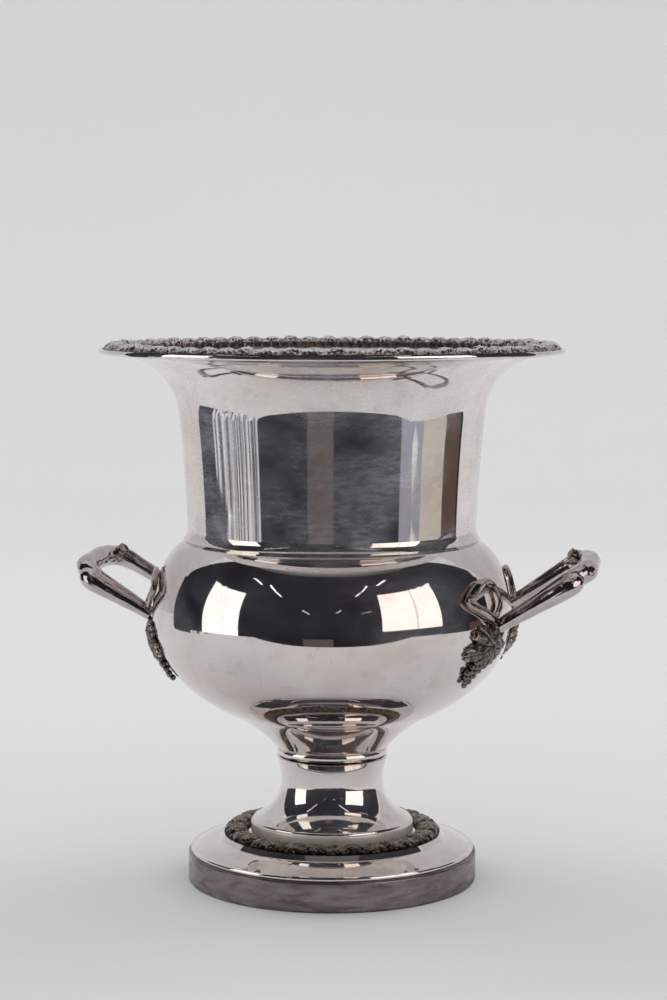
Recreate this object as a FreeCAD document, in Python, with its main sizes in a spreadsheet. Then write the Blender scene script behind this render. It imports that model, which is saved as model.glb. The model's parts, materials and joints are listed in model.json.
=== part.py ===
import FreeCAD, Part
import math
import os
import Sketcher
from types import SimpleNamespace

# Champagne bucket: a spun bowl and flared neck on a pedestal foot, with cast vine borders and
# two vine-branch handles.  Millimetres, +Z up, origin in the middle of the face it stands on.
# The handles lie along +X (right) and -X (left); -Y is the front.

SIZES = {
    # sheet metal
    "wall": 1.2,
    "edge_round": 1,
    # flared neck
    "seam_radius": 66.8,
    "seam_height": 164.6,
    "neck_edge_radius": 70.4,
    "neck_edge_height": 164,
    "neck_foot_radius": 68.4,
    "neck_foot_height": 168.4,
    "neck_foot_bend": 5.8,
    "neck_top_radius": 72.3,
    "neck_top_height": 223,
    "neck_bend": 700,
    "flare_radius": 99,
    "flare_height": 250.7,
    "flare_bend": 30,
    "rim_radius": 110,
    "rim_height": 251.8,
    # vine border on the rim
    "rim_edge_width": 2,
    "rim_edge_flat": 1.5,
    "rim_edge_drop": 0.4,
    "rim_edge_height": 2.4,
    "border_inner_radius": 97.5,
    "border_crown_bend": 9,
    "border_lip": 1,
    "border_joint_angle": 0.2,
    "rim_cluster_radius": 2.4,
    "cluster_rise": 1.05,
    # bowl
    "bowl_foot_radius": 26.5,
    "bowl_foot_height": 64,
    "cove_radius": 50,
    "cove_height": 81.5,
    "cove_bend": 65,
    "belly_low_radius": 71.5,
    "belly_low_height": 96.5,
    "belly_low_bend": 78,
    "belly_radius": 85.5,
    "belly_height": 128,
    "belly_bend": 42.5,
    "shoulder_radius": 80.5,
    "shoulder_height": 151,
    "shoulder_bend": 55.4,
    "crown_bend": 27.5,
    # stem
    "collar_height": 60,
    "collar_bore": 20,
    "collar_bend": 2.3,
    "stem_top_radius": 25.4,
    "stem_top_bend": 30,
    "waist_radius": 23,
    "waist_height": 48,
    "stem_foot_radius": 36.9,
    "stem_foot_bend": 21.3,
    "base_ring_radius": 38.8,
    "base_ring_top": 28.4,
    # foot
    "foot_floor_height": 22.5,
    "foot_floor_bore": 5,
    "foot_floor_radius": 52.2,
    "foot_step_radius": 54,
    "foot_step_height": 20.3,
    "foot_edge_radius": 66,
    "foot_edge_height": 16,
    "foot_dome_bend": 40,
    "foot_ring_inner": 40,
    "foot_ring_outer": 51.8,
    "foot_ring_bend": 7,
    "foot_cluster_radius": 2.2,
    "drum_radius": 68.8,
    "drum_height": 14.2,
    "drum_floor": 2.4,
    "drum_wall": 2,
    "edge_bead_radius": 67.4,
    "edge_bead_bend": 1.7,
    # fastening under the bowl
    "boss_radius": 9,
    "boss_height": 10,
    "stud_radius": 3,
    "stud_bottom": 5,
    "stud_chamfer": 0.5,
    "stud_play": 0.2,
    "plate_radius": 26,
    "plate_thick": 1.6,
    "plate_dish": 3,
    "washer_radius": 6.4,
    "washer_thick": 1.2,
    "nut_flats": 10,
    "nut_height": 5.2,
    # handles
    "seat_radius": 80,
    "seat_height": 127.5,
    "handle_end": 127.2,
    "loop_half_width": 20,
    "loop_corner": 13,
    "branch_radius": 4.2,
    "loop_roll": 10,
    "pitch_right": 32,
    "pitch_left": 28,
    "knot_radius": 3.4,
    "knot_taper": 0.8,
    "knot_length": 7,
    # tendrils, leaves and grapes beside each end of a handle
    "mount_turn": 18,
    "tendril_turn": 1,
    "tendril_height": 140,
    "tendril_half_width": 15.5,
    "tendril_half_height": 8.5,
    "tendril_ribbon": 2.6,
    "tendril_gap": 1.5,
    "tendril_depth": 3,
    "leaf_top": 124.5,
    "leaf_drop": 20,
    "right_leaf_rise": 4,
    "leaf_half_width": 18,
    "leaf_gap": 1.2,
    "leaf_depth": 4,
    "grape_turn": 7,
    "grape_radius": 2.3,
    "grape_height": 105,
}

RIM_CASTINGS = 6
CLUSTERS_PER_RIM_CASTING = 7
FOOT_CASTINGS = 4
CLUSTERS_PER_FOOT_CASTING = 6
TENDRIL_ROUNDNESS = 1.1  # the bend of a tendril's ends, over its half height
LEAF_LOBES = 5
LEAF_NOTCH = 0.62        # how far out the notches between lobes lie, over the lobe tips
GRAPE_ROWS = 3
GRAPE_ROW_STEP = 1.5     # in grape radii, along the bowl
GRAPE_STEP = 1.8         # in grape radii
FULL_TURN = 360
HALF_TURN = 180
ORIGIN = FreeCAD.Vector(0, 0, 0)
X_AXIS = FreeCAD.Vector(1, 0, 0)
Y_AXIS = FreeCAD.Vector(0, 1, 0)
Z_AXIS = FreeCAD.Vector(0, 0, 1)
CENTRE = 3               # the Sketcher's number for the middle of a circle

doc = FreeCAD.newDocument("champagne_bucket")
parts = []


class Size:
    """A number together with the expression that reads it from the sheet."""

    def __init__(self, value, text=None):
        self.value = value
        self.text = text or "%.6f" % value

    def joined(self, sign, other, value):
        return Size(value, "(%s %s %s)" % (self.text, sign, as_size(other).text))

    def __add__(self, other):
        return self.joined("+", other, self.value + as_size(other).value)

    def __sub__(self, other):
        return self.joined("-", other, self.value - as_size(other).value)

    def __mul__(self, other):
        return self.joined("*", other, self.value * as_size(other).value)

    def __truediv__(self, other):
        return self.joined("/", other, self.value / as_size(other).value)

    def __neg__(self):
        return Size(-self.value, "(-%s)" % self.text)

    __rmul__ = __mul__


def as_size(number):
    return number if isinstance(number, Size) else Size(number)


def make_sheet():
    """Fill the spreadsheet, and give each of its cells a name that the outlines can use."""
    sheet = doc.addObject("Spreadsheet::Sheet", "dims")
    for row, (alias, number) in enumerate(SIZES.items(), start=1):
        sheet.set("A%d" % row, alias)
        sheet.set("B%d" % row, str(number))
        sheet.setAlias("B%d" % row, alias)
    doc.recompute()
    return SimpleNamespace(**{alias: Size(number, "dims." + alias)
                              for alias, number in SIZES.items()})


d = make_sheet()


def bind(feature, field, size):
    feature.setExpression(field, size.text)


def keep(feature, label):
    """Give a finished sub-part the name of its file."""
    feature.Label = label
    parts.append(feature)
    return feature


def origin_plane(body, role):
    """A plane or an axis of a body's own origin."""
    return next(feature for feature in body.Origin.OriginFeatures if feature.Role == role)


def body_sketch(body, name, role="XZ_Plane"):
    sketch = body.newObject("Sketcher::SketchObject", name)
    sketch.AttachmentSupport = [(origin_plane(body, role), "")]
    sketch.MapMode = "FlatFace"
    return sketch


# ---------------------------------------------------------------- outlines
#
# An outline is a list of corners.  A corner is (across, up), or (across, up, stretch) where
# the stretch to the next corner is an arc: left(bend) or right(bend), with bend its radius.

def left(bend):
    return as_size(bend), 1


def right(bend):
    return as_size(bend), -1


def vector(corner):
    return FreeCAD.Vector(as_size(corner[0]).value, as_size(corner[1]).value, 0)


def curve_between(start, end, stretch):
    """The line or arc from start to end, and the Sketcher's numbers for its two ends."""
    if stretch is None:
        return Part.LineSegment(start, end), 1, 2
    bend, turn = stretch
    chord = end - start
    rise = math.sqrt(bend.value ** 2 - chord.Length ** 2 / 4)
    square = FreeCAD.Vector(-chord.y, chord.x, 0).normalize()
    centre = (start + end) / 2 + square * rise * turn
    angles = [math.atan2(spot.y - centre.y, spot.x - centre.x) for spot in (start, end)]
    circle = Part.Circle(centre, Z_AXIS, bend.value)
    if turn > 0:
        return Part.ArcOfCircle(circle, angles[0], angles[1]), 1, 2
    return Part.ArcOfCircle(circle, angles[1], angles[0]), 2, 1


def constrain(sketch, kind, *place, size):
    number = sketch.addConstraint(Sketcher.Constraint(kind, *place, size.value))
    bind(sketch, "Constraints[%d]" % number, size)


def pin(sketch, edge, end, corner):
    """Tie one end of an edge to its place, with the sheet as the source of both sizes."""
    for kind, place, axis in (("DistanceX", corner[0], -2), ("DistanceY", corner[1], -1)):
        place = as_size(place)
        if place.value == 0:
            sketch.addConstraint(Sketcher.Constraint("PointOnObject", edge, end, axis))
        else:
            constrain(sketch, kind, -1, 1, edge, end, size=place)


def draw(sketch, corners, closed=True):
    count = len(corners) if closed else len(corners) - 1
    first = previous = None
    for index in range(count):
        corner = corners[index]
        following = corners[(index + 1) % len(corners)]
        stretch = corner[2] if len(corner) > 2 else None
        curve, start, end = curve_between(vector(corner), vector(following), stretch)
        edge = sketch.addGeometry(curve, False)
        if previous:
            sketch.addConstraint(Sketcher.Constraint("Coincident", *previous, edge, start))
        else:
            first = (edge, start)
        pin(sketch, edge, start, corner)
        if stretch:
            constrain(sketch, "Radius", edge, size=stretch[0])
        previous = (edge, end)
    if closed:
        sketch.addConstraint(Sketcher.Constraint("Coincident", *previous, *first))
    else:
        pin(sketch, *previous, corners[-1])


def draw_circle(sketch, middle, radius):
    edge = sketch.addGeometry(Part.Circle(vector(middle), Z_AXIS, radius.value), False)
    pin(sketch, edge, CENTRE, middle)
    constrain(sketch, "Radius", edge, size=radius)


# ---------------------------------------------------------------- ways of making a piece

def turned(label, corners, angle=FULL_TURN):
    """A solid turned about the Z axis from a closed outline of (radius, height) corners."""
    body = doc.addObject("PartDesign::Body", label)
    sketch = body_sketch(body, label + "_outline")
    draw(sketch, corners)
    turning = body.newObject("PartDesign::Revolution", label + "_turning")
    turning.Profile = sketch
    turning.ReferenceAxis = (sketch, ["V_Axis"])
    turning.Angle = angle
    return body


def skin_line(label, corners):
    """The outside line of a spun sheet, standing in the XZ plane."""
    sketch = doc.addObject("Sketcher::SketchObject", label + "_line")
    sketch.Placement = FreeCAD.Placement(ORIGIN, FreeCAD.Rotation(X_AXIS, 90))
    draw(sketch, corners, closed=False)
    return sketch


def spun(label, line, thickness):
    """Sheet metal spun about the Z axis: its outside line, thickened to one side and turned."""
    band = doc.addObject("Part::Offset2D", label + "_band")
    band.Source = line
    bind(band, "Value", thickness)
    band.Mode = "Skin"
    band.Fill = True
    shell = doc.addObject("Part::Revolution", label)
    shell.Source = band
    shell.Axis = Z_AXIS
    shell.Angle = FULL_TURN
    shell.Solid = True
    return shell


def prism(label, outlines, length):
    """Outlines drawn across the X axis and pushed out along it."""
    body = doc.addObject("PartDesign::Body", label)
    sketch = body_sketch(body, label + "_outline", "YZ_Plane")
    for corners in outlines:
        draw(sketch, corners)
    pad = body.newObject("PartDesign::Pad", label + "_pad")
    pad.Profile = sketch
    bind(pad, "Length", length)
    return body


def joined(kind, label, base, tool):
    result = doc.addObject(kind, label)
    result.Base = base
    result.Tool = tool
    return result


def cut(label, base, tool):
    return joined("Part::Cut", label, base, tool)


def turned_by(bearing):
    """A placement that swings a piece about the Z axis, in degrees from +X."""
    return FreeCAD.Placement(ORIGIN, FreeCAD.Rotation(Z_AXIS, bearing))


# ---------------------------------------------------------------- vessel

neck_line = skin_line("neck", [
    (d.neck_edge_radius, d.neck_edge_height, right(d.neck_foot_bend)),
    (d.neck_foot_radius, d.neck_foot_height, right(d.neck_bend)),
    (d.neck_top_radius, d.neck_top_height, right(d.flare_bend)),
    (d.flare_radius, d.flare_height),
    (d.rim_radius - d.rim_edge_width, d.rim_height),
])

BOWL_OUTLINE = [
    (0, d.bowl_foot_height),
    (d.bowl_foot_radius, d.bowl_foot_height, right(d.cove_bend)),
    (d.cove_radius, d.cove_height, left(d.belly_low_bend)),
    (d.belly_low_radius, d.belly_low_height, left(d.belly_bend)),
    (d.belly_radius, d.belly_height, left(d.shoulder_bend)),
    (d.shoulder_radius, d.shoulder_height, left(d.crown_bend)),
    (d.seam_radius, d.seam_height),
]
bowl_line = skin_line("bowl", BOWL_OUTLINE)
bowl_space = turned("bowl_space", BOWL_OUTLINE + [(0, d.seam_height)])


def neck_shell():
    """The foot of the neck flares out over the crown of the bowl and is trimmed to sit on it."""
    keep(cut("neck_shell", spun("neck_sheet", neck_line, -d.wall), bowl_space), "neck_shell")


def bowl_shell():
    keep(spun("bowl_shell", bowl_line, d.wall), "bowl_shell")


def rim_edge_wire():
    inner = d.rim_radius - d.rim_edge_width
    outer = d.rim_radius - d.rim_edge_width + d.rim_edge_flat
    bottom = d.rim_height - d.rim_edge_drop
    top = bottom + d.rim_edge_height
    outline = [(inner, bottom), (outer, bottom, left(d.rim_edge_height)), (outer, top), (inner, top)]
    keep(turned("rim_edge_wire", outline), "rim_edge_wire")


def vine_castings(name, count, inner, outer, bed, crown_bend, clusters, cluster):
    """Equal lengths of cast border, each a domed strip with a row of grape clusters on it."""
    share = FULL_TURN / count - d.border_joint_angle.value
    step = share / clusters
    bearing = math.radians(step / 2)
    reach = ((inner + outer) / 2).value
    height = (bed + d.cluster_rise * cluster).value
    first_cluster = FreeCAD.Vector(reach * math.cos(bearing), reach * math.sin(bearing), height)
    lip = bed + d.border_lip
    outline = [(inner, bed), (outer, bed), (outer, lip, left(crown_bend)), (inner, lip)]
    for number in range(count):
        label = "%s_%d" % (name, number + 1)
        casting = turned(label, outline, share)
        bump = casting.newObject("PartDesign::AdditiveSphere", label + "_cluster")
        bind(bump, "Radius", cluster)
        bump.AttachmentSupport = [(origin_plane(casting, "XY_Plane"), "")]
        bump.MapMode = "FlatFace"
        bump.AttachmentOffset = FreeCAD.Placement(first_cluster, FreeCAD.Rotation())
        row = casting.newObject("PartDesign::PolarPattern", label + "_row")
        row.Originals = [bump]
        row.Axis = (origin_plane(casting, "Z_Axis"), [""])
        row.Angle = share - step
        row.Occurrences = clusters
        casting.Tip = row
        casting.Placement = turned_by(FULL_TURN * number / count)
        keep(casting, label)


def rim_vine_castings():
    vine_castings("rim_vine_casting", RIM_CASTINGS, d.border_inner_radius,
                  d.rim_radius - d.rim_edge_width, d.rim_height + d.wall, d.border_crown_bend,
                  CLUSTERS_PER_RIM_CASTING, d.rim_cluster_radius)


# ---------------------------------------------------------------- stem

def stem_collar():
    outline = [
        (d.collar_bore, d.collar_height),
        (d.stem_top_radius, d.collar_height, left(d.collar_bend)),
        (d.stem_top_radius, d.bowl_foot_height),
        (d.collar_bore, d.bowl_foot_height),
    ]
    keep(turned("stem_collar", outline), "stem_collar")


def pedestal_shell():
    line = skin_line("pedestal", [
        (d.stem_foot_radius, d.foot_floor_height),
        (d.stem_foot_radius, d.base_ring_top, right(d.stem_foot_bend)),
        (d.waist_radius, d.waist_height, right(d.stem_top_bend)),
        (d.stem_top_radius, d.collar_height - d.wall / 2),
    ])
    keep(spun("pedestal_shell", line, -d.wall), "pedestal_shell")


def pedestal_base_ring():
    outline = [
        (d.stem_foot_radius, d.foot_floor_height),
        (d.base_ring_radius, d.foot_floor_height),
        (d.base_ring_radius, d.base_ring_top - d.edge_round, left(d.edge_round)),
        (d.base_ring_radius - d.edge_round, d.base_ring_top),
        (d.stem_foot_radius, d.base_ring_top),
    ]
    keep(turned("pedestal_base_ring", outline), "pedestal_base_ring")


# ---------------------------------------------------------------- foot

def foot_dome():
    line = skin_line("dome", [
        (d.foot_floor_bore, d.foot_floor_height),
        (d.foot_floor_radius, d.foot_floor_height),
        (d.foot_step_radius, d.foot_step_height, right(d.foot_dome_bend)),
        (d.foot_edge_radius, d.foot_edge_height),
    ])
    keep(spun("foot_dome", line, -d.wall), "foot_dome")


def foot_vine_castings():
    vine_castings("foot_vine_casting", FOOT_CASTINGS, d.foot_ring_inner, d.foot_ring_outer,
                  d.foot_floor_height, d.foot_ring_bend,
                  CLUSTERS_PER_FOOT_CASTING, d.foot_cluster_radius)


def foot_edge_bead():
    outline = [
        (d.foot_edge_radius, d.drum_height),
        (d.edge_bead_radius, d.drum_height, left(d.edge_bead_bend)),
        (d.edge_bead_radius, d.foot_edge_height),
        (d.foot_edge_radius, d.foot_edge_height),
    ]
    keep(turned("foot_edge_bead", outline), "foot_edge_bead")


def foot_drum_band():
    outline = [
        (d.drum_radius - d.drum_wall, d.drum_floor),
        (d.drum_radius, d.drum_floor),
        (d.drum_radius, d.drum_height - d.edge_round, left(d.edge_round)),
        (d.drum_radius - d.edge_round, d.drum_height),
        (d.drum_radius - d.drum_wall, d.drum_height),
    ]
    keep(turned("foot_drum_band", outline), "foot_drum_band")


def base_rim_wire():
    outline = [
        (d.drum_radius - d.drum_floor, 0),
        (d.drum_radius - d.edge_round, 0, left(d.edge_round)),
        (d.drum_radius, d.edge_round),
        (d.drum_radius, d.drum_floor),
        (d.drum_radius - d.drum_floor, d.drum_floor),
    ]
    keep(turned("base_rim_wire", outline), "base_rim_wire")


# ---------------------------------------------------------------- fastening

BOSS_BOTTOM = d.bowl_foot_height - d.boss_height
PLATE_TOP = d.foot_floor_height - d.wall
PLATE_UNDERSIDE = PLATE_TOP - d.plate_dish - d.plate_thick
STUD_HOLE = d.stud_radius + d.stud_play


def bowl_boss():
    outline = [
        (d.stud_radius, BOSS_BOTTOM),
        (d.boss_radius - d.edge_round, BOSS_BOTTOM),
        (d.boss_radius, BOSS_BOTTOM + d.edge_round),
        (d.boss_radius, d.bowl_foot_height),
        (d.stud_radius, d.bowl_foot_height),
    ]
    keep(turned("bowl_boss", outline), "bowl_boss")


def foot_stud():
    tip = d.stud_radius - d.stud_chamfer
    outline = [
        (0, d.stud_bottom),
        (tip, d.stud_bottom),
        (d.stud_radius, d.stud_bottom + d.stud_chamfer),
        (d.stud_radius, d.bowl_foot_height - d.stud_chamfer),
        (tip, d.bowl_foot_height),
        (0, d.bowl_foot_height),
    ]
    keep(turned("foot_stud", outline), "foot_stud")


def tension_plate():
    """A dished plate under the floor of the foot: its edge pushes up, the nut pulls its middle."""
    outline = [
        (STUD_HOLE, PLATE_UNDERSIDE),
        (d.plate_radius, PLATE_TOP - d.plate_thick),
        (d.plate_radius, PLATE_TOP),
        (STUD_HOLE, PLATE_TOP - d.plate_dish),
    ]
    keep(turned("tension_plate", outline), "tension_plate")


def lock_washer():
    bottom = PLATE_UNDERSIDE - d.washer_thick
    outline = [
        (STUD_HOLE, bottom),
        (d.washer_radius, bottom),
        (d.washer_radius, PLATE_UNDERSIDE),
        (STUD_HOLE, PLATE_UNDERSIDE),
    ]
    keep(turned("lock_washer", outline), "lock_washer")


def foot_nut():
    block = doc.addObject("Part::Prism", "nut_block")
    block.Polygon = 6
    bind(block, "Circumradius", d.nut_flats / math.sqrt(3))
    bind(block, "Height", d.nut_height)
    bore = doc.addObject("Part::Cylinder", "nut_bore")
    bind(bore, "Radius", d.stud_radius)
    bind(bore, "Height", d.nut_height)
    nut = cut("foot_nut", block, bore)
    bind(nut, ".Placement.Base.z", PLATE_UNDERSIDE - d.washer_thick - d.nut_height)
    keep(nut, "foot_nut")


# ---------------------------------------------------------------- handles

def handle_pitch(side):
    return math.radians((d.pitch_right if side > 0 else d.pitch_left).value)


def loop_reach(side):
    """How long a loop is, so that both handles end equally far from the axis of the bucket."""
    return (d.handle_end - d.seat_radius - d.branch_radius) / math.cos(handle_pitch(side))


def handle_frame(side):
    """Where a loop starts at the bowl: x runs outward and up, y across, z square to both."""
    pitch = handle_pitch(side)
    roll = math.radians(d.loop_roll.value)
    outward = FreeCAD.Vector(side * math.cos(pitch), 0, math.sin(pitch))
    across = FreeCAD.Vector(0, math.cos(roll), math.sin(roll))
    across = (across - outward * across.dot(outward)).normalize()
    start = FreeCAD.Vector(side * d.seat_radius.value, 0, d.seat_height.value)
    return FreeCAD.Placement(start, FreeCAD.Rotation(outward, across, ORIGIN, "XYZ"))


def handle_loop(name, side):
    """A U of branch: out, across and back, with its ends trimmed to the bowl."""
    body = doc.addObject("PartDesign::Body", name + "_branch")
    path = body_sketch(body, name + "_path", "XY_Plane")
    reach = loop_reach(side)
    straight = reach - d.loop_corner
    level = d.loop_half_width - d.loop_corner
    draw(path, [
        (0, -d.loop_half_width),
        (straight, -d.loop_half_width, left(d.loop_corner)),
        (reach, -level),
        (reach, level, left(d.loop_corner)),
        (straight, d.loop_half_width),
        (0, d.loop_half_width),
    ], closed=False)
    section = body_sketch(body, name + "_section", "YZ_Plane")
    draw_circle(section, (-d.loop_half_width, 0), d.branch_radius)
    pipe = body.newObject("PartDesign::AdditivePipe", name + "_pipe")
    pipe.Profile = section
    pipe.Spine = (path, [])
    body.Placement = handle_frame(side)
    return keep(cut(name, body, bowl_space), name)


def handle_knot(name, side, loop):
    """The stub of a cut twig that stands on the rear corner of the loop."""
    stub = doc.addObject("Part::Cone", name + "_stub")
    bind(stub, "Radius1", d.knot_radius)
    bind(stub, "Radius2", d.knot_radius - d.knot_taper)
    bind(stub, "Height", d.knot_length)
    along = loop_reach(side) - d.loop_corner
    corner = FreeCAD.Vector(along.value, d.loop_half_width.value, 0)
    upright = FreeCAD.Rotation(X_AXIS, 0 if side > 0 else HALF_TURN)
    stub.Placement = handle_frame(side).multiply(FreeCAD.Placement(corner, upright))
    keep(cut(name, stub, loop), name)


def slot_outline(half_width, half_height):
    straight = half_width - half_height
    end = left(half_height * TENDRIL_ROUNDNESS)
    return [
        (-straight, -half_height),
        (straight, -half_height, end),
        (straight, half_height),
        (-straight, half_height, end),
    ]


def tendril(label, bearing, loop):
    """A flat ribbon bent into an eye that stands just clear of the shoulder of the bowl."""
    outer = slot_outline(d.tendril_half_width, d.tendril_half_height)
    inner = slot_outline(d.tendril_half_width - d.tendril_ribbon,
                         d.tendril_half_height - d.tendril_ribbon)
    eye = prism(label + "_eye", [outer, inner], d.tendril_depth)
    bend = d.shoulder_bend.value
    lean = math.asin((d.tendril_height - d.belly_height).value / bend)
    reach = (d.belly_radius + d.tendril_gap).value - bend * (1 - math.cos(lean))
    spot = FreeCAD.Vector(reach, 0, d.tendril_height.value)
    tilt = FreeCAD.Rotation(Y_AXIS, -math.degrees(lean))
    eye.Placement = turned_by(bearing).multiply(FreeCAD.Placement(spot, tilt))
    keep(cut(label, eye, loop), label)


def leaf_outline(rise):
    """Five lobes: tips on an ellipse, with notches half way in between them."""
    middle = d.leaf_top + rise - d.leaf_drop / 2
    corners = []
    for step in range(2 * LEAF_LOBES):
        bearing = math.radians(90 + FULL_TURN * step / (2 * LEAF_LOBES))
        scale = 1 if step % 2 else LEAF_NOTCH
        across = d.leaf_half_width * (scale * math.cos(bearing))
        up = middle + d.leaf_drop * (scale * math.sin(bearing) / 2)
        corners.append((across, up, left(d.leaf_half_width)))
    return corners


def leaf_mount(label, bearing, rise, loop):
    """A vine leaf that follows the bowl: its outline cut out of a layer just over the sheet."""
    layer = cut(label + "_layer", spun(label + "_outside", bowl_line, -d.leaf_depth),
                spun(label + "_inside", bowl_line, -d.leaf_gap))
    punch = prism(label + "_punch", [leaf_outline(rise)], d.rim_radius)
    leaf = joined("Part::Common", label + "_leaf", layer, punch)
    leaf.Placement = turned_by(bearing)
    keep(cut(label, leaf, loop), label)


def grape_cluster(label, bearing, rise):
    """Rows of grapes that narrow downwards, each touching the underside of the bowl."""
    radius = d.grape_radius.value
    bend = d.belly_bend.value + radius
    first_dip = math.asin((d.belly_height - d.grape_height - rise).value / bend)
    grapes = []
    for row in range(GRAPE_ROWS):
        dip = first_dip + row * GRAPE_ROW_STEP * radius / bend
        height = d.belly_height.value - bend * math.sin(dip)
        reach = (d.belly_radius - d.belly_bend).value + bend * math.cos(dip)
        for place in range(GRAPE_ROWS - row):
            grape = doc.addObject("Part::Sphere", label + "_grape")
            bind(grape, "Radius", d.grape_radius)
            across = GRAPE_STEP * radius * (place - (GRAPE_ROWS - row - 1) / 2)
            depth = math.sqrt(reach ** 2 - across ** 2)
            grape.Placement.Base = FreeCAD.Vector(depth, across, height)
            grapes.append(grape)
    bunch = doc.addObject("Part::MultiFuse", label)
    bunch.Shapes = grapes
    bunch.Placement = turned_by(bearing)
    keep(bunch, label)


def handle(name, side):
    """One casting, and what is soldered beside its front and rear ends."""
    loop = handle_loop(name + "_handle_loop", side)
    handle_knot(name + "_handle_knot", side, loop)
    middle = 0 if side > 0 else HALF_TURN
    rise = d.right_leaf_rise if side > 0 else Size(0)
    for end, turn in (("front", -side), ("rear", side)):
        label = "%s_%s_" % (name, end)
        bearing = middle + turn * d.mount_turn.value
        tendril(label + "tendril", bearing + turn * d.tendril_turn.value, loop)
        leaf_mount(label + "leaf_mount", bearing, rise, loop)
        grape_cluster(label + "grape_cluster", bearing + turn * d.grape_turn.value, rise)


neck_shell()
bowl_shell()
rim_edge_wire()
rim_vine_castings()
stem_collar()
pedestal_shell()
pedestal_base_ring()
foot_dome()
foot_vine_castings()
foot_edge_bead()
foot_drum_band()
base_rim_wire()
bowl_boss()
foot_stud()
tension_plate()
lock_washer()
foot_nut()
handle("right", 1)
handle("left", -1)
doc.recompute()

for feature in doc.Objects:
    if {"Invalid", "Error"} & set(feature.State):
        raise RuntimeError("%s did not build" % feature.Name)
os.makedirs("parts", exist_ok=True)
for piece in parts:
    if piece.Shape.isNull() or not piece.Shape.isValid() or not piece.Shape.Solids:
        raise RuntimeError("%s has no sound shape" % piece.Label)
    piece.Shape.exportStep("parts/%s.step" % piece.Label)
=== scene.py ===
import json
import math
import random

import bpy
import numpy as np
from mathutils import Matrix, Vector, noise
from mathutils.bvhtree import BVHTree


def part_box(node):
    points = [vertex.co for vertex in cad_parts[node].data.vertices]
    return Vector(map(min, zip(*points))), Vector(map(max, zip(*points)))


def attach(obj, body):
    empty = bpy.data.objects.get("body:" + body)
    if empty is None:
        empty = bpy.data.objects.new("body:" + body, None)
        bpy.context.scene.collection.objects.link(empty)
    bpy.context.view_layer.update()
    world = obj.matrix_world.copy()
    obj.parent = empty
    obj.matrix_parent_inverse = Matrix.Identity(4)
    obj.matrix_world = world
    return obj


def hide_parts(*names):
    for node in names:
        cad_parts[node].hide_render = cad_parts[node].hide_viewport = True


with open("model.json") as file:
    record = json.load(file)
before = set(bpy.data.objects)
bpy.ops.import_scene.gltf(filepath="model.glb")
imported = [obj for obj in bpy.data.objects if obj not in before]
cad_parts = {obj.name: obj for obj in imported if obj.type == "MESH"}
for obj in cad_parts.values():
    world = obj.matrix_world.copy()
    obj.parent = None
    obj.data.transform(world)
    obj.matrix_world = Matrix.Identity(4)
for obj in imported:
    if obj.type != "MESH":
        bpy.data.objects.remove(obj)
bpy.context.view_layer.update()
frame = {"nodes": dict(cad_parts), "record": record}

MM = 0.001

# ---------------------------------------------------------------- sizes of the modelled detail

# A border's measures are in millimetres.
BORDER_BED = 0.7          # thickness of the ground
BORDER_SUNK = 0.35        # how far the empty parts lie below the face it is soldered to
BORDER_ROOT = 0.9         # how far its underside reaches below that face
RECESS = 0.75             # how deep the ground between leaves and grapes lies
GRAPE_RISE = 0.85         # how far a grape stands off the dome
FOLIAGE = 1.5             # spacing of the small lumps that fill the ground
STEM = 0.6                # radius of the vine's stem
CURL = 0.36               # radius of its curled tendrils
BORDERS = {               # low and high are the heights of the dome, step the size of a quad
    "rim_vine_casting": {"count": 6, "width": 10.6, "wave": 9.5, "grape": 1.05, "low": 1.7,
                         "high": 3.0, "undercut": 1.0, "step": 0.22,
                         "finish": "antiqued_castings", "first_seed": 11},
    "foot_vine_casting": {"count": 4, "width": 11.8, "wave": 9.0, "grape": 1.15, "low": 1.7,
                          "high": 2.7, "undercut": 0.0, "step": 0.24,
                          "finish": "foot_castings", "first_seed": 31},
}

LOOP_PITCH = {1: 32, -1: 28}   # how steeply each handle rises, in degrees
LOOP_ROLL = 10                 # how much the rear of a handle is lifted
LOOP_CORNER = 13 * MM          # radius of its two outer corners
LOOP_ROOT = 82.6 * MM          # where the middle of a branch starts, from the axis
BRANCH = 4.2 * MM
LOOP_INSET = {1: 1.0 * MM, -1: 3.4 * MM}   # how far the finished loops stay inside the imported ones
SHOOTS = (                     # (share of the way round, off the middle, bearing, radius)
    ((0.00, 0.4, 200, 2.7), (0.06, 0.6, 200, 3.1), (0.13, 0.8, 200, 3.8), (0.20, 0.9, 200, 4.5),
     (0.26, 1.0, 200, 4.8), (0.305, 1.0, 200, 4.6), (0.335, 1.0, 200, 3.8), (0.355, 1.0, 200, 2.2)),
    ((0.00, 1.6, 60, 1.9), (0.10, 2.4, 60, 2.2), (0.20, 3.0, 60, 2.7), (0.30, 2.4, 60, 3.7),
     (0.37, 1.0, 60, 4.7), (0.44, 0.0, 60, 5.1), (0.50, 0.0, 60, 5.1), (0.56, 0.0, 60, 5.1),
     (0.63, 0.4, 100, 4.9), (0.72, 0.6, 100, 4.5), (0.82, 0.6, 100, 3.9), (0.92, 0.5, 100, 3.3),
     (1.00, 0.4, 100, 2.8)),
    ((0.58, 4.4, 80, 0.6), (0.64, 4.4, 85, 1.4), (0.74, 4.0, 90, 1.7), (0.84, 3.3, 90, 1.6),
     (0.94, 2.3, 90, 1.3), (1.00, 1.5, 90, 1.0)),
)
KNOT_LENGTH = 4.2 * MM
KNOT_RADIUS = 2.8 * MM
KNOT_SHIFT = 7.5 * MM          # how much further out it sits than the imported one
KNOT_PROFILE = (               # (how far along, how wide), from its root to the hollow in its end
    (-1.0, 1.25), (-0.7, 1.15), (-0.45, 1.2), (-0.2, 1.0), (0.0, 1.08), (0.25, 0.95),
    (0.42, 1.02), (0.5, 0.9), (0.48, 0.6), (0.30, 0.45), (0.26, 0.05),
)
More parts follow.
